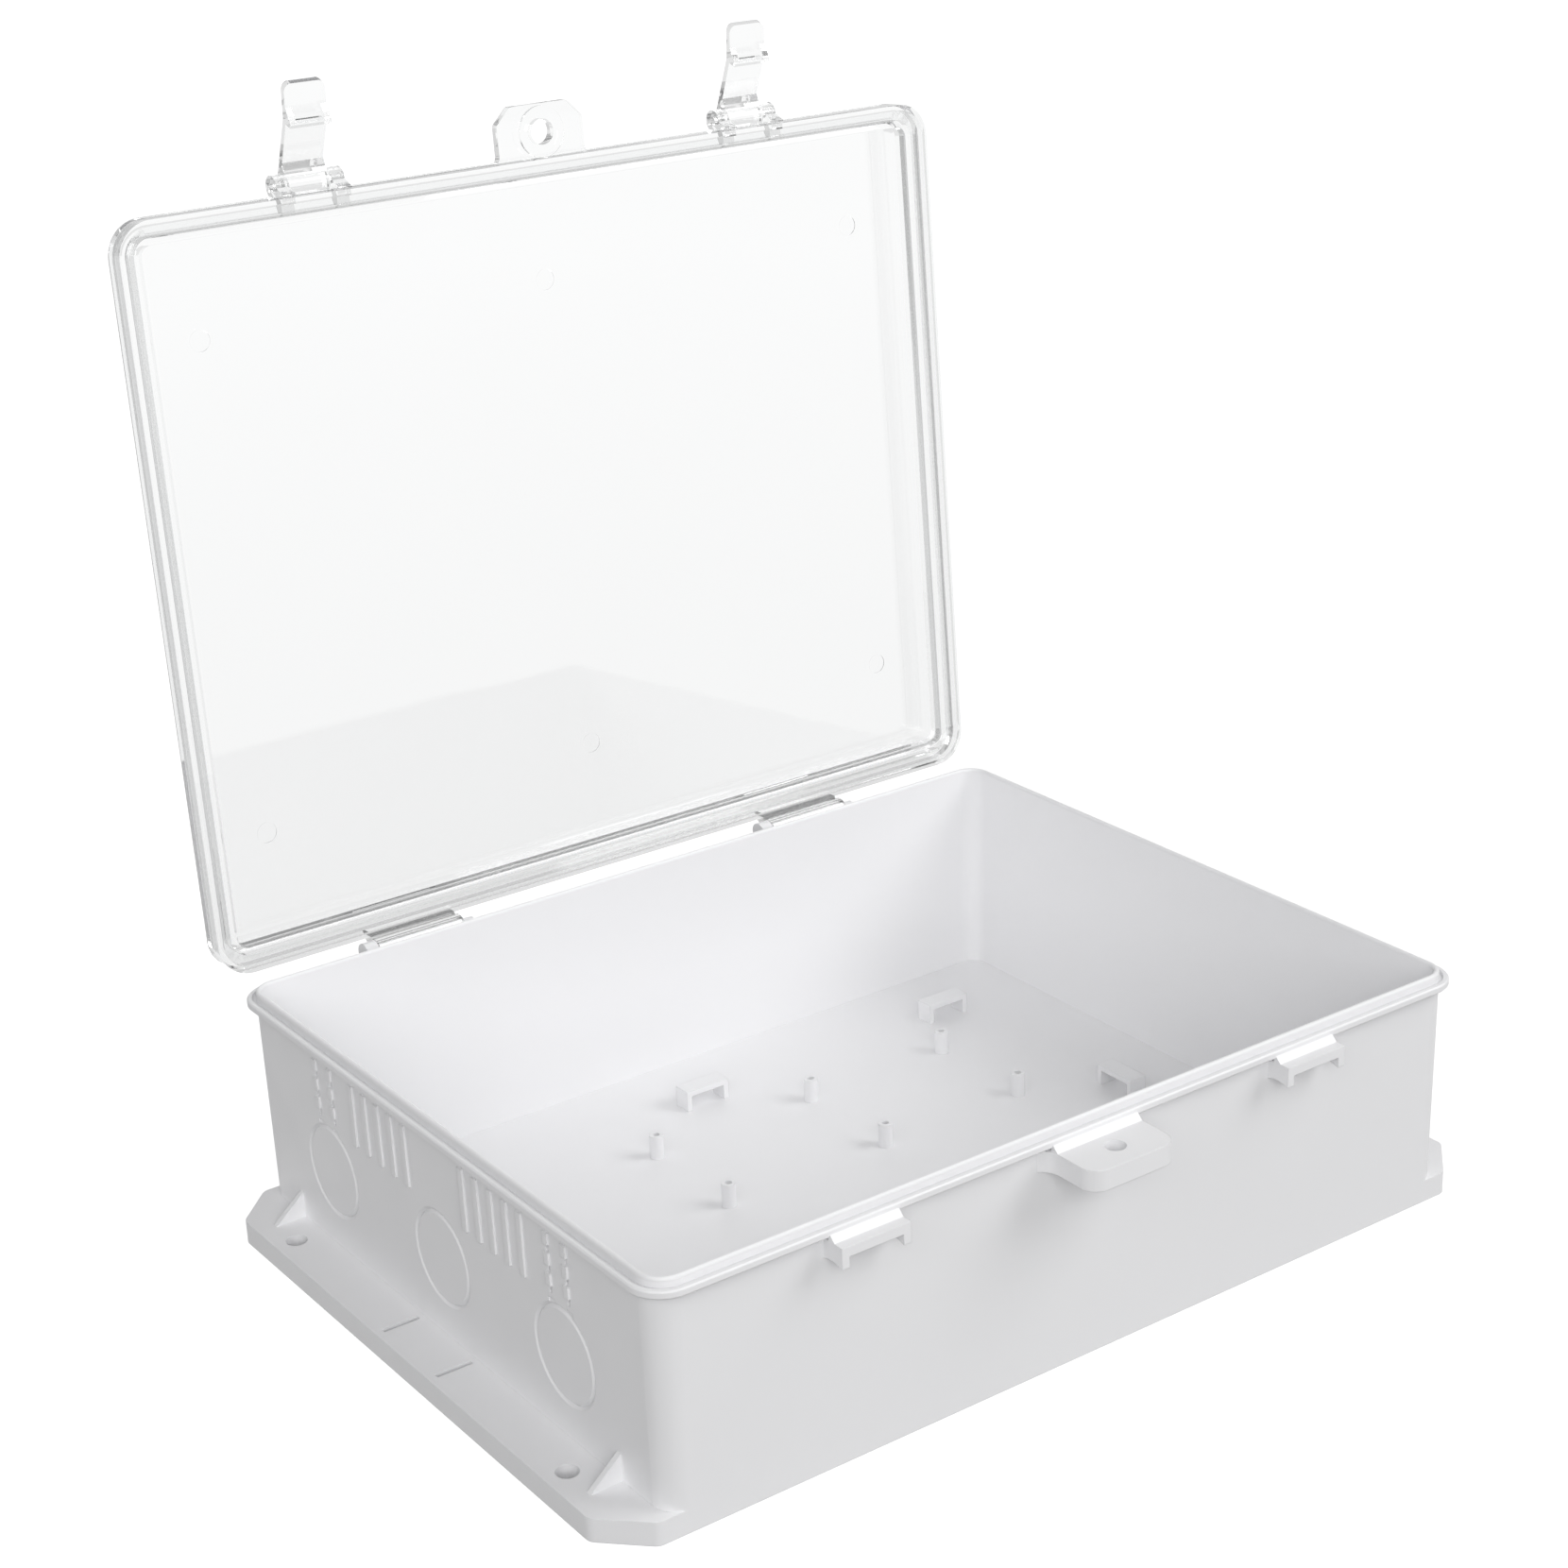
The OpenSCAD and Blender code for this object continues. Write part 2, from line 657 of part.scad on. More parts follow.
module lid_hasp() {
    translate([0, 0, flange_z - lid_hasp_t]) difference() {
        union() {
            linear_extrude(lid_hasp_t)
                hasp_outline(lid_face - skirt_t / 2, inner_wid / 2 + lid_hasp_out, lid_hasp_w,
                    lid_hasp_cut, lid_hasp_round, lid_hasp_flare);
            translate([0, -padlock_y, -collar_h]) cylinder(h = collar_h + EPS, d = collar_d);
        }
        translate([0, -padlock_y, -collar_h - EPS])
            cylinder(h = lid_hasp_t + collar_h + 2 * EPS, d = lid_padlock_d);
    }
}

module latch_ears() {
    inner_x = lever_w / 2 + side_gap;
    both_ends() difference() {
        along_x(inner_x, inner_x + latch_ear_t) {
            translate([latch_y, latch_z]) circle(d = latch_ear_d);
            polygon([
                [latch_y, latch_z + latch_ear_d / 2], [-inner_wid / 2 - rib_out, flange_z + latch_ear_d / 3],
                [-inner_wid / 2 - rib_out, flange_z - lid_t / 2],
                [-lid_face + skirt_t / 2, flange_z - lid_t / 2],
                [-lid_face + skirt_t / 2, flange_z - latch_ear_d], [latch_y, latch_z - latch_ear_d / 2]]);
        }
        translate([inner_x - EPS, latch_y, latch_z]) rotate([0, 90, 0])
            cylinder(h = latch_ear_t + 2 * EPS, d = stub_d + 2 * pin_play);
    }
}

module knuckle() {
    r = knuckle_d / 2;
    mouth = [r * cos(snap_angle / 2), r * sin(snap_angle / 2)];
    translate([0, hinge_y, hinge_z]) along_x(-knuckle_w / 2, knuckle_w / 2) difference() {
        union() {
            circle(r = r);
            polygon([
                [lid_face - hinge_y - skirt_t / 2, skirt_z - hinge_z + side_gap],
                [lid_face - hinge_y - skirt_t / 2, flange_z - hinge_z - lid_t],
                [lid_face - hinge_y, flange_z - hinge_z - lid_t], [0, r], [-r * cos(45), r * sin(45)],
                [lid_face - hinge_y, skirt_z - hinge_z + side_gap]]);
        }
        circle(d = pin_d + 2 * pin_play);
        polygon([[0, 0], 2 * [mouth[0], -mouth[1]], 2 * mouth]);
    }
}

module ejector_marks() {
    for (x = [-ejector_x, 0, ejector_x], y = [-ejector_y, ejector_y])
        translate([x, y, panel_z - lid_t - EPS]) cylinder(h = ejector_depth + EPS, d = ejector_d);
}

module lid() {
    color(CLEAR) opened() difference() {
        union() {
            round_opening() lid_profile();
            lid_panel();
            lid_hasp();
            both_ends() translate([latch_x, 0, 0]) latch_ears();
            at_hinges() knuckle();
        }
        ejector_marks();
    }
}

module lid_seal() {
    color(SEAL_CLEAR) opened() round_opening()
        translate([rib_out + seal_play, base_h + seal_gap])
            square([channel_out - rib_out - 2 * seal_play, channel_top - base_h - seal_gap]);
}

// ---------- latches ----------

// Section of the lever, swung out by 90 degrees: barrel, root, arm along the lid's front and flared thumb tab
module lever_profile() {
    circle(d = barrel_d);
    polygon([
        [0, 0], [barrel_d / 2, 0], [barrel_d / 2, lever_in], [0, lever_in + lever_t],
        [-barrel_d, lever_in + lever_t], [-barrel_d, lever_in], [-barrel_d / 2, 0]]);
    translate([-bend, lever_in]) square([bend, lever_t]);
    translate([-bend, lever_in]) rotate(-tab_flare) translate([-lever_len, 0]) square([lever_len, lever_t]);
}

// Outline of the lever from the front, with the rounded corners of its thumb tab
module lever_outline() {
    half = lever_w / 2;
    rounded_outline([[-half, -lever_len, tab_r], [half, -lever_len, tab_r], [half, barrel_d, 0], [-half, barrel_d, 0]]);
}

// The hook that reaches under the catch, with a slanted web at each side
module hook() {
    middle = lever_in + lever_t / 2;
    along_x(-lever_w / 2, lever_w / 2)
        polygon([[-hook_at, middle], [-hook_at, hook_in], [-bend, hook_in], [-bend, middle]]);
    both_ends() along_x(lever_w / 2 - hook_web, lever_w / 2)
        polygon([
            [-hook_at, middle], [-hook_at, hook_in], [-bend, hook_in],
            [-bend - hook_lead, middle + hook_lead * sin(tab_flare)]]);
}

module latch(x) {
    stub_len = lever_w + 2 * (side_gap + latch_ear_t);
    color(CLEAR) opened() translate([x, latch_y, latch_z]) rotate([90 - latch_angle, 0, 0]) {
        intersection() {
            along_x(-lever_w / 2, lever_w / 2) lever_profile();
            translate([0, 0, -lever_len]) linear_extrude(2 * lever_len) lever_outline();
        }
        hook();
        translate([-stub_len / 2, 0, 0]) rotate([0, 90, 0]) cylinder(h = stub_len, d = stub_d);
    }
}

module latch_left() { latch(-latch_x); }
module latch_right() { latch(latch_x); }

base();
tie_bridges();
lid();
lid_seal();
latch_left();
latch_right();
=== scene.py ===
"""Looks, floor, lamps and camera of a hinged polycarbonate enclosure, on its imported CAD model."""

import math

import bpy  # noqa: E402
from mathutils import Euler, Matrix, Vector  # noqa: E402

bl_info = {
    "name": "Hinged Enclosure",
    "version": (1, 0, 0),
    "blender": (4, 5, 0),
    "location": "3D View > Sidebar > Enclosure",
    "description": "Finishes a hinged polycarbonate enclosure and sets up its studio",
    "category": "Object",
}

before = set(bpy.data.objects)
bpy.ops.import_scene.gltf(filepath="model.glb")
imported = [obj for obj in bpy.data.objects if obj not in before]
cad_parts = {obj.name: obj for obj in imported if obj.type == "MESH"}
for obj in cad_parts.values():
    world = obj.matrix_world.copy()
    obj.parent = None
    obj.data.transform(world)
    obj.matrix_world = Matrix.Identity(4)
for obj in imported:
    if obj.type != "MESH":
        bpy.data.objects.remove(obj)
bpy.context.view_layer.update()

SURFACE_GROUP = "Moulded Surface"

# Scale, detail and roughness of each noise.
GRAIN = (2400.0, 3.0, 0.6)
FLOW_MARKS = (14.0, 1.0, 0.4)
CLOUDS = (9.0, 4.0, 0.55)
SMEARS = (60.0, 3.0, 0.6)
FLOOR_SPECKS = (3.0, 2.0, 0.5)
NOISE_BAND = (0.3, 0.7)  # the band around a noise's middle that is used
WHOLE = (0.0, 1.0)
BOTH_WAYS = (-0.5, 0.5)
FLOW_HEIGHT = 6.0  # how much higher the flow marks stand than the grain

# How each finish uses the moulded surface; bump_depth is in metres.
SATIN = {"spread": 0.10, "grain": 1.0, "flow": 0.6, "bump": 0.10, "bump_depth": 0.00006}
POLISHED = {"spread": 0.02, "grain": 0.0, "flow": 1.0, "bump": 0.12, "bump_depth": 0.0003}
SILICONE = {"spread": 0.02, "grain": 0.0, "flow": 0.5, "bump": 0.0, "bump_depth": 0.0001}

# Clear plastic: what a lamp's light keeps, what caught light keeps, and after how many turns it is caught.
LAMP_LIGHT_KEPT = (0.97, 0.975, 0.98, 1)
CAUGHT_LIGHT_KEPT = (0.8, 0.8, 0.8, 1)
TURNS_BEFORE_CAUGHT = 3.5
SLANTED_VIEW = (0.45, 1.0)  # the slants between which the painted edge shade of clear plastic sets in
SLANT_BLEND = 0.5

# Rounded edges: in the shader on the base, and by modifiers on the clear pieces.
BEVEL_SAMPLES = 6
WELD_DISTANCE = 0.000001
ROUNDING_SEGMENTS = 3
SHARP_ANGLE = math.radians(30)

# The floor's glow over the distance from its middle: distances in metres, then strengths. Seen in the
# clear plastic, the glow is dimmer near the middle as painted shade.
FLOOR_GLOW = ((0.8, 2.5), (0.9, 1.0))
FLOOR_GLOW_WITH_PAINTED_SHADE_IN_PLASTIC = ((0.3, 1.6), (0.93, 0.985))

LAMP_TARGET = (0, 0, 0.05)  # the middle of the base, in metres
SENSOR_WIDTH = 36.0  # millimetres


# ---------- settings ----------


class EnclosureFinish(bpy.types.PropertyGroup):
    """Colours and finishes of the enclosure's mouldings."""

    base_colour: bpy.props.FloatVectorProperty(
        name="Base",
        description="Colour of the opaque polycarbonate of the base",
        subtype="COLOR",
        size=3,
        min=0,
        max=1,
        default=(0.895, 0.895, 0.907),
    )
    base_roughness: bpy.props.FloatProperty(
        name="Base roughness",
        description="Roughness of the base's satin surface",
        subtype="FACTOR",
        min=0,
        max=1,
        default=0.38,
    )
    base_rounding: bpy.props.FloatProperty(
        name="Base edge radius",
        description="Rounding that the base's moulded edges show",
        unit="LENGTH",
        subtype="DISTANCE",
        min=0,
        max=0.002,
        precision=5,
        default=0.0004,
    )
    clear_colour: bpy.props.FloatVectorProperty(
        name="Clear",
        description="Tint of the clear polycarbonate of lid and latches",
        subtype="COLOR",
        size=3,
        min=0,
        max=1,
        default=(0.985, 0.99, 0.99),
    )
    clear_roughness: bpy.props.FloatProperty(
        name="Clear roughness",
        description="Roughness of the polished clear polycarbonate",
        subtype="FACTOR",
        min=0,
        max=1,
        default=0.02,
    )
    # Painted shade: the colour clear plastic takes where it is seen at a slant, along its rounded edges,
    # standing in for the dark refraction there.
    clear_painted_edge_shade: bpy.props.FloatVectorProperty(
        name="Clear edges",
        description="Tint of clear polycarbonate seen at a slant, as along its rounded edges",
        subtype="COLOR",
        size=3,
        min=0,
        max=1,
        default=(0.7, 0.71, 0.72),
    )
    clear_rounding: bpy.props.FloatProperty(
        name="Clear edge radius",
        description="Rounding of the edges of lid and latches",
        unit="LENGTH",
        subtype="DISTANCE",
        min=0,
        max=0.002,
        precision=5,
        default=0.0003,
    )
    refraction: bpy.props.FloatProperty(
        name="Refraction",
        description="Refractive index of polycarbonate",
        min=1,
        max=2,
        default=1.585,
    )
    seal_colour: bpy.props.FloatVectorProperty(
        name="Seal",
        description="Colour of the clear silicone seal",
        subtype="COLOR",
        size=3,
        min=0,
        max=1,
        default=(0.985, 0.99, 0.99),
    )
    seal_roughness: bpy.props.FloatProperty(
        name="Seal roughness",
        description="Roughness of the silicone seal",
        subtype="FACTOR",
        min=0,
        max=1,
        default=0.03,
    )
    seal_refraction: bpy.props.FloatProperty(
        name="Seal refraction",
        description="Refractive index of silicone",
        min=1,
        max=2,
        default=1.41,
    )


class StudioSettings(bpy.types.PropertyGroup):
    """Floor, lamps and camera."""

    floor_colour: bpy.props.FloatVectorProperty(
        name="Floor",
        description="Colour of the floor",
        subtype="COLOR",
        size=3,
        min=0,
        max=1,
        default=(0.3, 0.3, 0.3),
    )
    floor_size: bpy.props.FloatProperty(
        name="Floor size",
        description="Side of the square floor",
        unit="LENGTH",
        subtype="DISTANCE",
        min=1,
        max=50,
        default=14.0,
    )
    right_power: bpy.props.FloatProperty(
        name="Right lamp",
        description="Power of the soft lamp at the front right",
        unit="POWER",
        min=0,
        max=500,
        default=29.5,
    )
    front_power: bpy.props.FloatProperty(
        name="Front lamp",
        description="Power of the soft lamp at the front left",
        unit="POWER",
        min=0,
        max=500,
        default=27.0,
    )
    left_power: bpy.props.FloatProperty(
        name="Left lamp",
        description="Power of the soft lamp at the left",
        unit="POWER",
        min=0,
        max=500,
        default=8.0,
    )
    ambient: bpy.props.FloatProperty(
        name="Ambient",
        description="Strength of the even light from all sides",
        min=0,
        max=1,
        default=0.42,
    )
    camera_place: bpy.props.FloatVectorProperty(
        name="Camera",
        description="Place of the camera",
        unit="LENGTH",
        subtype="TRANSLATION",
        size=3,
        default=(-0.5144, -0.7084, 0.4936),
    )
    camera_turn: bpy.props.FloatVectorProperty(
        name="Camera turn",
        description="Rotation of the camera",
        unit="ROTATION",
        subtype="EULER",
        size=3,
        default=(math.radians(68.536), math.radians(2.104), math.radians(-35.754)),
    )
    lens: bpy.props.FloatProperty(
        name="Lens",
        description="Focal length of the camera on a 36 mm sensor",
        unit="CAMERA",
        min=10,
        max=300,
        default=68.97,
    )


# ---------- shader nodes ----------


def new_group(name, inputs, outputs):
    """A shader node group with its own sockets, and its input and output nodes."""
    tree = bpy.data.node_groups.new(name, "ShaderNodeTree")
    for label, kind, value in inputs:
        socket = tree.interface.new_socket(name=label, in_out="INPUT", socket_type=kind)
        if value is not None:
            socket.default_value = value
    for label, kind in outputs:
        tree.interface.new_socket(name=label, in_out="OUTPUT", socket_type=kind)
    return tree, tree.nodes.new("NodeGroupInput"), tree.nodes.new("NodeGroupOutput")


def noise(tree, vector, scale, detail, roughness):
    """The value of a noise over the given coordinates."""
    node = tree.nodes.new("ShaderNodeTexNoise")
    node.inputs["Scale"].default_value = scale
    node.inputs["Detail"].default_value = detail
    node.inputs["Roughness"].default_value = roughness
    tree.links.new(vector, node.inputs["Vector"])
    return node.outputs["Fac"]


def remap(tree, value, source, result):
    """Takes a value from its source range to the result range, and holds it there."""
    node = tree.nodes.new("ShaderNodeMapRange")
    node.inputs["From Min"].default_value, node.inputs["From Max"].default_value = source
    node.inputs["To Min"].default_value, node.inputs["To Max"].default_value = result
    tree.links.new(value, node.inputs["Value"])
    return node.outputs["Result"]


def maths(tree, kind, first, second):
    """A Math node of two values, each a number or a socket."""
    node = tree.nodes.new("ShaderNodeMath")
    node.operation = kind
    for socket, value in zip(node.inputs, (first, second)):
        if isinstance(value, (int, float)):
            socket.default_value = value
        else:
            tree.links.new(value, socket)
    return node.outputs["Value"]


def mixed_shader(tree, factor, first, second):
    """A Mix Shader node between two shader sockets."""
    mix = tree.nodes.new("ShaderNodeMixShader")
    tree.links.new(factor, mix.inputs["Fac"])
    tree.links.new(first, mix.inputs[1])
    tree.links.new(second, mix.inputs[2])
    return mix.outputs["Shader"]


def moulded_surface_group():
    """Fine satin grain, slow flow marks and handling dust of a moulded surface."""
    tree, given, out = new_group(
        SURFACE_GROUP,
        [
            ("Vector", "NodeSocketVector", None),
            ("Grain", "NodeSocketFloat", 1.0),
            ("Flow", "NodeSocketFloat", 1.0),
            ("Roughness", "NodeSocketFloat", 0.4),
            ("Spread", "NodeSocketFloat", 0.08),
        ],
        [
            ("Height", "NodeSocketFloat"),
            ("Shade", "NodeSocketFloat"),
            ("Roughness", "NodeSocketFloat"),
        ],
    )
    vector = given.outputs["Vector"]
    grain = maths(tree, "MULTIPLY", noise(tree, vector, *GRAIN), given.outputs["Grain"])
    flow = maths(tree, "MULTIPLY", noise(tree, vector, *FLOW_MARKS), given.outputs["Flow"])
    height = maths(tree, "ADD", grain, maths(tree, "MULTIPLY", flow, FLOW_HEIGHT))
    shade = remap(tree, noise(tree, vector, *CLOUDS), NOISE_BAND, WHOLE)
    smear = remap(tree, noise(tree, vector, *SMEARS), NOISE_BAND, BOTH_WAYS)
    spread = maths(tree, "MULTIPLY", smear, given.outputs["Spread"])
    tree.links.new(height, out.inputs["Height"])
    tree.links.new(shade, out.inputs["Shade"])
    tree.links.new(maths(tree, "ADD", given.outputs["Roughness"], spread), out.inputs["Roughness"])
    return tree


def new_material(name):
    """An empty node material, its tree and its output node."""
    material = bpy.data.materials.new(name)
    material.use_nodes = True
    tree = material.node_tree
    tree.nodes.clear()
    return material, tree, tree.nodes.new("ShaderNodeOutputMaterial")


def moulded(tree, roughness, spread, grain, flow, bump, bump_depth, rounding=0.0):
    """A Principled shader that follows the moulded surface, and that surface's shade mask."""
    place = tree.nodes.new("ShaderNodeTexCoord")
    surface = tree.nodes.new("ShaderNodeGroup")
    surface.node_tree = bpy.data.node_groups.get(SURFACE_GROUP) or moulded_surface_group()
    for label, value in (("Grain", grain), ("Flow", flow), ("Roughness", roughness), ("Spread", spread)):
        surface.inputs[label].default_value = value
    tree.links.new(place.outputs["Object"], surface.inputs["Vector"])
    ridge = tree.nodes.new("ShaderNodeBump")
    ridge.inputs["Strength"].default_value = bump
    ridge.inputs["Distance"].default_value = bump_depth
    tree.links.new(surface.outputs["Height"], ridge.inputs["Height"])
    if rounding > 0:
        bevel = tree.nodes.new("ShaderNodeBevel")
        bevel.samples = BEVEL_SAMPLES
        bevel.inputs["Radius"].default_value = rounding
        tree.links.new(bevel.outputs["Normal"], ridge.inputs["Normal"])
    shader = tree.nodes.new("ShaderNodeBsdfPrincipled")
    tree.links.new(surface.outputs["Roughness"], shader.inputs["Roughness"])
    tree.links.new(ridge.outputs["Normal"], shader.inputs["Normal"])
    return shader, surface.outputs["Shade"]


def shaded_colour(tree, mask, colour, darker):
    """The colour, taken down to darker times its value where the mask is low."""
    mix = tree.nodes.new("ShaderNodeMix")
    mix.data_type = "RGBA"
    mix.inputs["A"].default_value = (*[part * darker for part in colour], 1)
    mix.inputs["B"].default_value = (*colour, 1)
    tree.links.new(mask, mix.inputs["Factor"])
    return mix.outputs["Result"]


def painted_edge_shade(tree, colour, painted_edge_shade_colour):
    """The colour of clear plastic with painted shade where it is seen at a slant, as along its rounded
    edges, standing in for the dark refraction there.
    """
    # Painted shade: the colour goes over to the shade colour as the surface turns away from the eye.
    slant = tree.nodes.new("ShaderNodeLayerWeight")
    slant.inputs["Blend"].default_value = SLANT_BLEND
    mix = tree.nodes.new("ShaderNodeMix")
    mix.data_type = "RGBA"
    slanted = remap(tree, slant.outputs["Facing"], SLANTED_VIEW, WHOLE)
    tree.links.new(slanted, mix.inputs["Factor"])
    tree.links.new(colour, mix.inputs["A"])
    mix.inputs["B"].default_value = (*painted_edge_shade_colour, 1)
    return mix.outputs["Result"]


def transparent(tree, colour):
    """A Transparent shader of the colour."""
    node = tree.nodes.new("ShaderNodeBsdfTransparent")
    node.inputs["Color"].default_value = colour
    return node.outputs["BSDF"]


def lamps_through(tree, shader, output):
    """Clear plastic lets the lamps through, and light that is caught inside it out again, greyer."""
    path = tree.nodes.new("ShaderNodeLightPath")
    lamp_light = transparent(tree, LAMP_LIGHT_KEPT)
    caught_light = transparent(tree, CAUGHT_LIGHT_KEPT)
    caught = maths(tree, "GREATER_THAN", path.outputs["Ray Depth"], TURNS_BEFORE_CAUGHT)
    plastic = mixed_shader(tree, caught, shader.outputs["BSDF"], caught_light)
    whole = mixed_shader(tree, path.outputs["Is Shadow Ray"], plastic, lamp_light)
    tree.links.new(whole, output.inputs["Surface"])


# ---------- finishes ----------


def base_material(finish):
    """Opaque satin polycarbonate, its edges softly rounded."""
    material, tree, output = new_material("Grey Polycarbonate")
    shader, mask = moulded(tree, finish.base_roughness, **SATIN, rounding=finish.base_rounding)
    colour = shaded_colour(tree, mask, finish.base_colour, darker=0.985)
    tree.links.new(colour, shader.inputs["Base Color"])
    shader.inputs["IOR"].default_value = finish.refraction
    tree.links.new(shader.outputs["BSDF"], output.inputs["Surface"])
    return material


def clear_material(finish, name):
    """Polished clear polycarbonate with slow flow marks, and painted shade along its edges seen at a
    slant.
    """
    material, tree, output = new_material(name)
    shader, mask = moulded(tree, finish.clear_roughness, **POLISHED)
    colour = shaded_colour(tree, mask, finish.clear_colour, darker=0.992)
    colour = painted_edge_shade(tree, colour, finish.clear_painted_edge_shade)
    tree.links.new(colour, shader.inputs["Base Color"])
    shader.inputs["IOR"].default_value = finish.refraction
    shader.inputs["Transmission Weight"].default_value = 1.0
    lamps_through(tree, shader, output)
    return material


def seal_material(finish):
    """Clear soft silicone."""
    material, tree, output = new_material("Translucent Silicone")
    shader, mask = moulded(tree, finish.seal_roughness, **SILICONE)
    colour = shaded_colour(tree, mask, finish.seal_colour, darker=0.99)
    tree.links.new(colour, shader.inputs["Base Color"])
    shader.inputs["IOR"].default_value = finish.seal_refraction
    shader.inputs["Transmission Weight"].default_value = 1.0
    lamps_through(tree, shader, output)
    return material


def dress(node, material):
    """Gives every material slot of a CAD node the material."""
    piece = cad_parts[node]
    if not piece.material_slots:
        piece.data.materials.append(material)
    for slot in piece.material_slots:
        slot.link = "OBJECT"
        slot.material = material


def round_edges(node, radius):
    """Rounds the sharp moulded edges of a CAD node with modifiers, and leaves its mesh alone."""
    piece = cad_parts[node]
    weld = piece.modifiers.new("Joined Faces", "WELD")
    weld.merge_threshold = WELD_DISTANCE
    bevel = piece.modifiers.new("Rounded Edges", "BEVEL")
    bevel.width = radius
    bevel.segments = ROUNDING_SEGMENTS
    bevel.limit_method = "ANGLE"
    bevel.angle_limit = SHARP_ANGLE
    weighted = piece.modifiers.new("Even Normals", "WEIGHTED_NORMAL")
    weighted.mode = "FACE_AREA_WITH_ANGLE"
    weighted.keep_sharp = False


# ---------- studio ----------


def floor_material(studio):
    """Pale floor that shows white to the eye and keeps the shadow; in the clear plastic it shows as a glow
    with painted shade, dimmer near its middle.
    """
    material, tree, output = new_material("Studio Floor")
    place = tree.nodes.new("ShaderNodeTexCoord").outputs["Object"]
    path = tree.nodes.new("ShaderNodeLightPath")
    specks = remap(tree, noise(tree, place, *FLOOR_SPECKS), NOISE_BAND, WHOLE)
    shader = tree.nodes.new("ShaderNodeBsdfDiffuse")
    colour = shaded_colour(tree, specks, studio.floor_colour, darker=0.99)
    tree.links.new(colour, shader.inputs["Color"])
    length = tree.nodes.new("ShaderNodeVectorMath")
    length.operation = "LENGTH"
    tree.links.new(place, length.inputs[0])
    away = length.outputs["Value"]

    glow = tree.nodes.new("ShaderNodeEmission")
    strength = maths(tree, "MULTIPLY", path.outputs["Is Camera Ray"], remap(tree, away, *FLOOR_GLOW))
    tree.links.new(strength, glow.inputs["Strength"])
    glowing = tree.nodes.new("ShaderNodeAddShader")
    tree.links.new(shader.outputs["BSDF"], glowing.inputs[0])
    tree.links.new(glow.outputs["Emission"], glowing.inputs[1])
    # Painted shade: in reflections and through the clear plastic the floor is only a glow, dimmer near its
    # middle in place of its lit shade.
    glow_with_painted_shade = tree.nodes.new("ShaderNodeEmission")
    tree.links.new(remap(tree, away, *FLOOR_GLOW_WITH_PAINTED_SHADE_IN_PLASTIC), glow_with_painted_shade.inputs["Strength"])
    mirrored = maths(tree, "MAXIMUM", path.outputs["Is Glossy Ray"], path.outputs["Is Transmission Ray"])
    whole = mixed_shader(tree, mirrored, glowing.outputs["Shader"], glow_with_painted_shade.outputs["Emission"])
    tree.links.new(whole, output.inputs["Surface"])
    return material


def add_floor(studio):
    """The floor under the enclosure."""
    bpy.ops.object.select_all(action="DESELECT")
    bpy.ops.mesh.primitive_plane_add(size=studio.floor_size, location=(0, 0, 0))
    floor = bpy.context.object
    floor.name = "studio_floor"
    floor.data.materials.append(floor_material(studio))


def add_lamp(name, place, size, power):
    """A soft rectangular lamp that points at the enclosure."""
    data = bpy.data.lights.new(name, "AREA")
    data.shape = "RECTANGLE"
    data.size, data.size_y = size
    data.energy = power
    lamp = bpy.data.objects.new(name, data)
    bpy.context.scene.collection.objects.link(lamp)
    lamp.location = place
    lamp.rotation_euler = (Vector(LAMP_TARGET) - Vector(place)).to_track_quat("-Z", "Y").to_euler()


def studio_world(studio):
    """Even light on the enclosure, and a white background to the eye and in the clear plastic."""
    world = bpy.data.worlds.new("Studio")
    world.use_nodes = True
    tree = world.node_tree
    tree.nodes.clear()
    path = tree.nodes.new("ShaderNodeLightPath")
    even = tree.nodes.new("ShaderNodeBackground")
    even.inputs["Strength"].default_value = studio.ambient
    white = tree.nodes.new("ShaderNodeBackground")
    white.inputs["Strength"].default_value = 1.0
    seen = maths(tree, "MAXIMUM", path.outputs["Is Camera Ray"], path.outputs["Is Glossy Ray"])
    seen = maths(tree, "MAXIMUM", seen, path.outputs["Is Transmission Ray"])
    output = tree.nodes.new("ShaderNodeOutputWorld")
    whole = mixed_shader(tree, seen, even.outputs["Background"], white.outputs["Background"])
    tree.links.new(whole, output.inputs["Surface"])
    return world


def studio_camera(studio):
    """The camera, at its place in the scene."""
    data = bpy.data.cameras.new("Camera")
    data.lens = studio.lens
    data.sensor_width = SENSOR_WIDTH
    camera = bpy.data.objects.new("Camera", data)
    bpy.context.scene.collection.objects.link(camera)
    camera.location = studio.camera_place
    camera.rotation_euler = Euler(studio.camera_turn, "XYZ")
    return camera


# ---------- operators ----------


class ENCLOSURE_OT_base(bpy.types.Operator):
    """Finish the opaque base and its cable-tie bridges"""

    bl_idname = "enclosure.base"
    bl_label = "Base"

    def execute(self, context):
        material = base_material(context.scene.enclosure_finish)
        for node in ("base", "tie_bridges"):
            dress(node, material)
        return {"FINISHED"}


class ENCLOSURE_OT_lid(bpy.types.Operator):
    """Finish the clear lid"""

    bl_idname = "enclosure.lid"
    bl_label = "Lid"

    def execute(self, context):
        finish = context.scene.enclosure_finish
        dress("lid", clear_material(finish, "Clear Polycarbonate"))
        round_edges("lid", finish.clear_rounding)
        return {"FINISHED"}


class ENCLOSURE_OT_seal(bpy.types.Operator):
    """Finish the silicone seal in the lid's channel"""

    bl_idname = "enclosure.seal"
    bl_label = "Seal"

    def execute(self, context):
        dress("lid_seal", seal_material(context.scene.enclosure_finish))
        return {"FINISHED"}


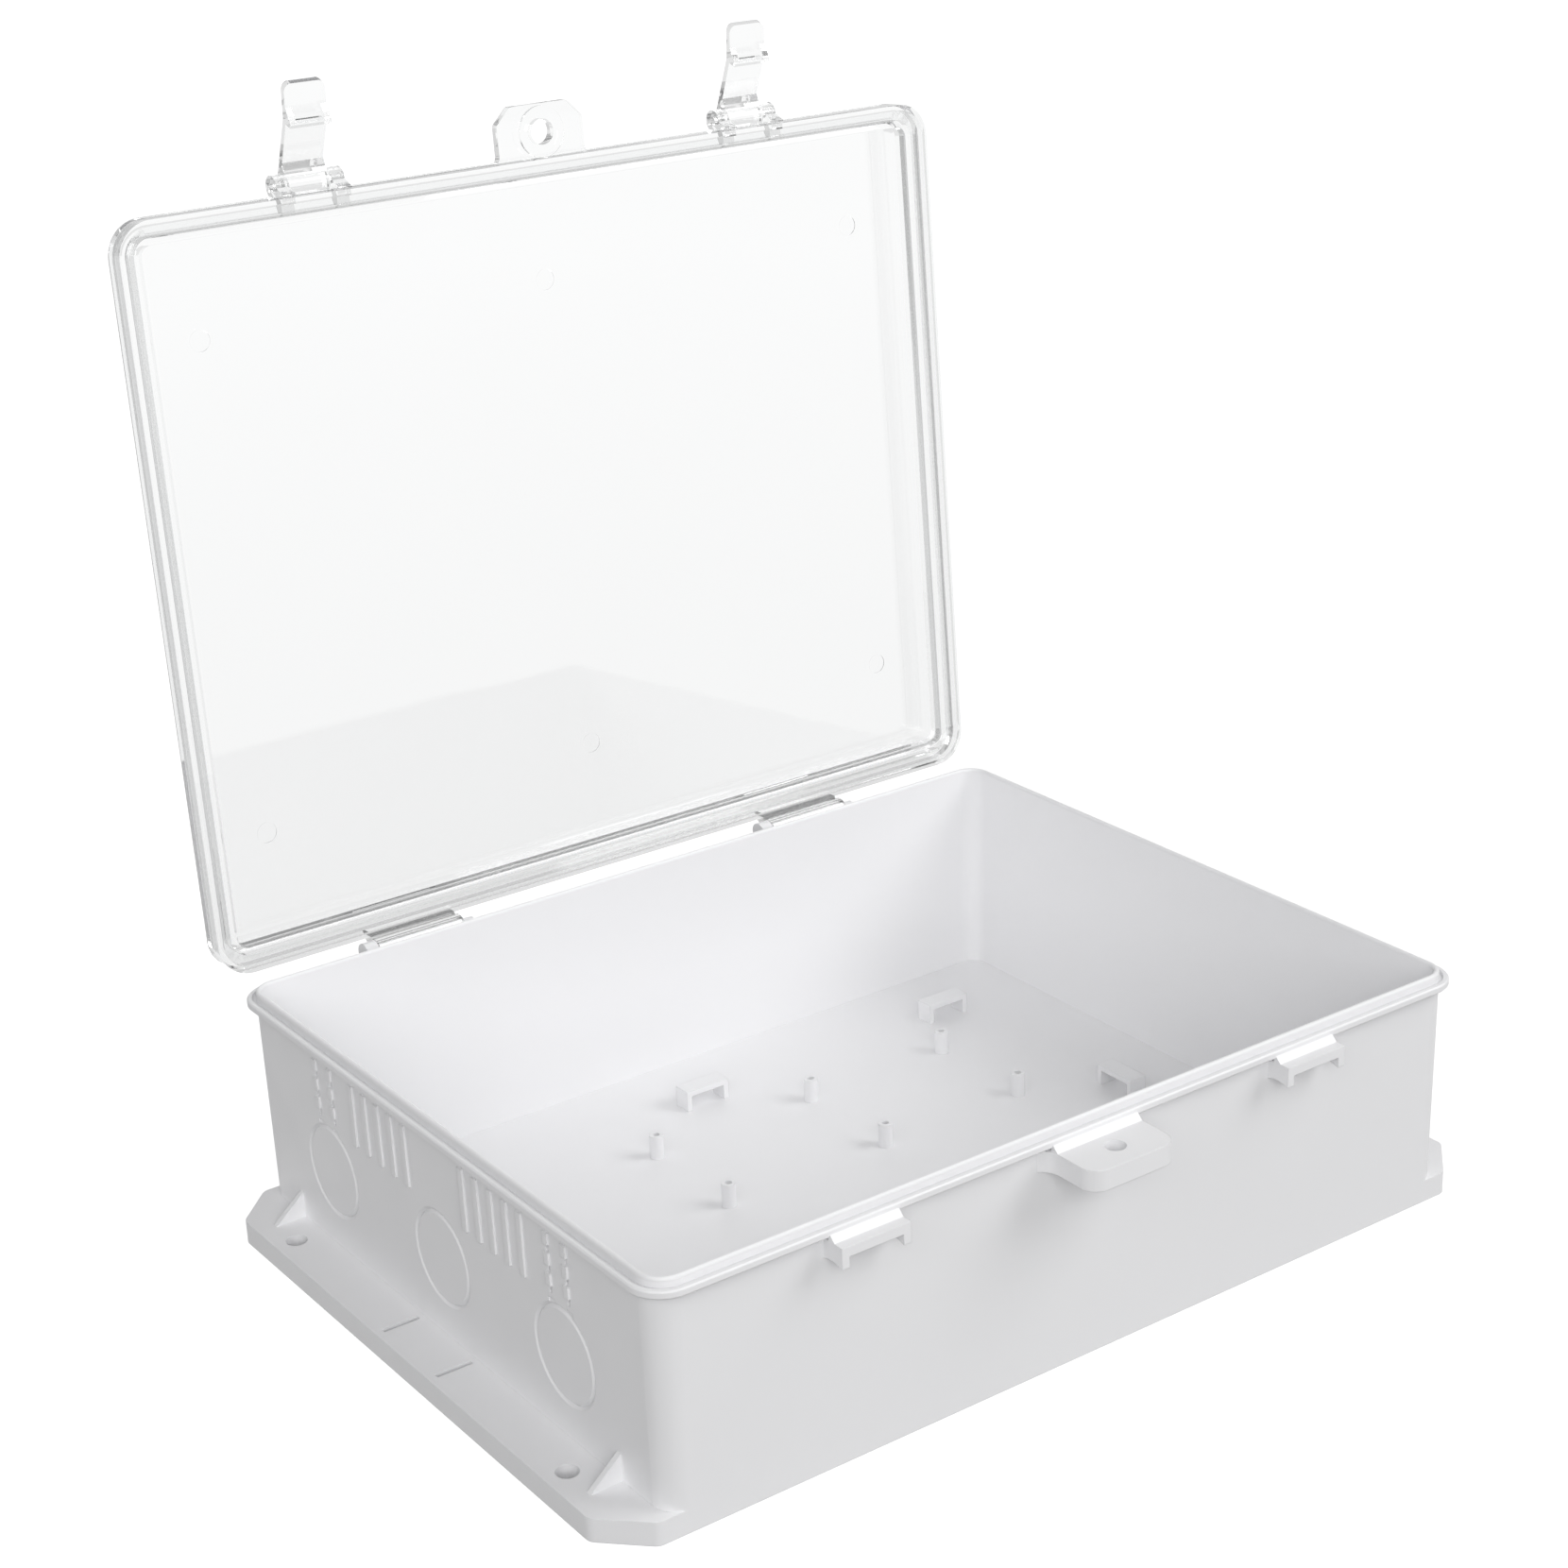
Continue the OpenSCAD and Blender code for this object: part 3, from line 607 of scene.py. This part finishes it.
class ENCLOSURE_OT_latches(bpy.types.Operator):
    """Finish the two clear snap latches"""

    bl_idname = "enclosure.latches"
    bl_label = "Latches"

    def execute(self, context):
        finish = context.scene.enclosure_finish
        material = clear_material(finish, "Clear Latch")
        for node in ("latch_left", "latch_right"):
            dress(node, material)
            round_edges(node, finish.clear_rounding)
        return {"FINISHED"}


class ENCLOSURE_OT_stage(bpy.types.Operator):
    """Make the floor, the lamps, the even light and the camera"""

    bl_idname = "enclosure.stage"
    bl_label = "Stage"

    def execute(self, context):
        studio = context.scene.enclosure_studio
        add_floor(studio)
        add_lamp("Right Lamp", place=(1.6, -1.4, 1.8), size=(1.6, 1.6), power=studio.right_power)
        add_lamp("Front Lamp", place=(-1.1, -2.3, 1.2), size=(1.4, 1.4), power=studio.front_power)
        add_lamp("Left Lamp", place=(-1.9, -0.9, 1.4), size=(1.4, 1.4), power=studio.left_power)
        context.scene.world = studio_world(studio)
        context.scene.camera = studio_camera(studio)
        context.scene.view_settings.view_transform = "Standard"
        return {"FINISHED"}


class ENCLOSURE_PT_panel(bpy.types.Panel):
    """Lists the enclosure's settings and steps"""

    bl_idname = "ENCLOSURE_PT_panel"
    bl_label = "Hinged Enclosure"
    bl_space_type = "VIEW_3D"
    bl_region_type = "UI"
    bl_category = "Enclosure"

    def draw(self, context):
        for settings in (context.scene.enclosure_finish, context.scene.enclosure_studio):
            for name in settings.bl_rna.properties.keys():
                if name not in ("rna_type", "name"):
                    self.layout.prop(settings, name)
        for operator in OPERATORS:
            self.layout.operator(operator.bl_idname)


OPERATORS = (
    ENCLOSURE_OT_base,
    ENCLOSURE_OT_lid,
    ENCLOSURE_OT_seal,
    ENCLOSURE_OT_latches,
    ENCLOSURE_OT_stage,
)
CLASSES = (EnclosureFinish, StudioSettings, *OPERATORS, ENCLOSURE_PT_panel)


def register():
    for cls in CLASSES:
        bpy.utils.register_class(cls)
    bpy.types.Scene.enclosure_finish = bpy.props.PointerProperty(type=EnclosureFinish)
    bpy.types.Scene.enclosure_studio = bpy.props.PointerProperty(type=StudioSettings)


def unregister():
    del bpy.types.Scene.enclosure_studio
    del bpy.types.Scene.enclosure_finish
    for cls in reversed(CLASSES):
        bpy.utils.unregister_class(cls)


def main():
    register()
    bpy.ops.enclosure.base()
    bpy.ops.enclosure.lid()
    bpy.ops.enclosure.seal()
    bpy.ops.enclosure.latches()
    bpy.ops.enclosure.stage()


if __name__ == "__main__":
    main()
